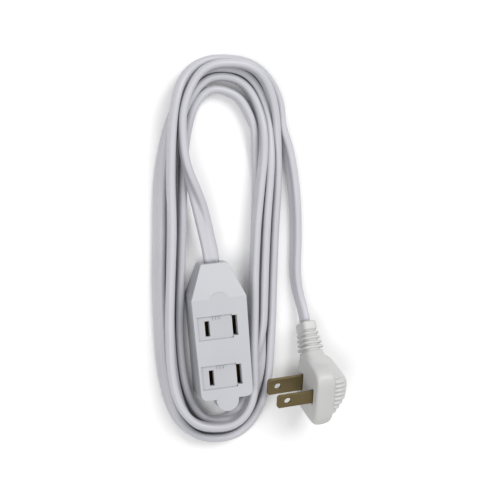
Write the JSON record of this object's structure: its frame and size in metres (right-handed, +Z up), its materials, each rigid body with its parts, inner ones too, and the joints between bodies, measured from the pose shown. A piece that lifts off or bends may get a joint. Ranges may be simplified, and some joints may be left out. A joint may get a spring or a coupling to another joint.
{
  "type": "extension cord",
  "caption": "White household extension cord: flat tap with a row of polarised outlets behind sliding shutters, flat zip cord wound in an oval coil, angled flat plug.",
  "frame": {"origin": "centre of the tap's footprint, on the surface that the tap lies on with its back", "axes": "+Z up, out of the outlets; +Y along the tap towards its cord end; +X to the right, on the side of the long neutral slots"},
  "size_m": [0.0824, 0.1746, 0.0312],
  "materials": {
    "tap_white": "fine satin grain",
    "shutter_white": "satin",
    "brass": "stamped strip",
    "blade_brass": "dull stamped brass",
    "clamp_grey": "moulded",
    "cord_white": "soft vinyl, low gloss",
    "copper": "bare stranded copper",
    "plug_white": "soft vinyl"
  },
  "bodies": {
    "cord_and_tap": {"rear_housing": "tap_white", "front_housing": "tap_white", "shutter_guide": "tap_white", "hot_bus": "brass", "neutral_bus": "brass", "upper_hot_contact": "brass", "lower_hot_contact": "brass", "upper_neutral_contact": "brass", "lower_neutral_contact": "brass", "contact_rivets": "brass", "cord_clamp": "clamp_grey", "tap_hot_insulation": "cord_white", "tap_neutral_insulation": "cord_white", "tap_hot_core": "copper", "tap_neutral_core": "copper", "plug_body": "plug_white", "plug_insert": "clamp_grey", "plug_neutral_blade": "blade_brass", "plug_hot_blade": "blade_brass", "plug_hot_insulation": "cord_white", "plug_neutral_insulation": "cord_white", "plug_hot_core": "copper", "plug_neutral_core": "copper", "plug_strain_relief": "plug_white", "cord_tap_end": "cord_white", "cord_coil": "cord_white", "cord_plug_end": "cord_white"},
    "upper_shutter_body": {"upper_shutter": "shutter_white"},
    "lower_shutter_body": {"lower_shutter": "shutter_white"}
  },
  "joints": [
    {"name": "upper_shutter_slide", "type": "slide", "parent": "cord_and_tap", "child": "upper_shutter_body", "axis": [1, 0, 0], "range_m": [0, 0.0032]},
    {"name": "lower_shutter_slide", "type": "slide", "parent": "cord_and_tap", "child": "lower_shutter_body", "axis": [1, 0, 0], "range_m": [0, 0.0032]}
  ]
}
